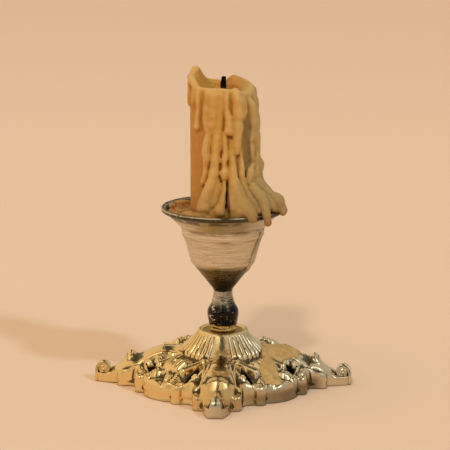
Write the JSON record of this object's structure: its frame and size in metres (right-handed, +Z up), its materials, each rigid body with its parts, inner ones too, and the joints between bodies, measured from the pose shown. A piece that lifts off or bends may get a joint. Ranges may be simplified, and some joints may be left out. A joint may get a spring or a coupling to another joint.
{
  "type": "melted candle in a metal candlestick",
  "caption": "Burnt-down candle run with wax in a turned drip-pan cup on a short stem and an openwork cast base with scrolled corners.",
  "frame": {"origin": "on the ground under the centre of the base", "axes": "+Z up along the candle; the corners of the base lie on the X and Y axes"},
  "size_m": [0.0894, 0.0894, 0.1098],
  "materials": {
    "wax": "translucent tan-gold wax, satin",
    "dull_wax": "thin wax over dirty metal, matt",
    "charred_wick": "charred cotton",
    "worn_cup": "worn silver plate over brass, turned, with tarnish",
    "black_stem": "blackened, rubbed bright on its edges",
    "plated_casting": "bright champagne plate, tarnished in its hollows",
    "screw_steel": "dull zinc"
  },
  "bodies": {
    "root": {"candle": "wax", "wick": "charred_wick", "cup": "worn_cup", "stem": "black_stem", "base": "plated_casting", "tie_screw": "screw_steel", "washer": "screw_steel", "wax_run": "wax", "wax_spill": "dull_wax", "wax_spill_small": "dull_wax"}
  },
  "joints": []
}
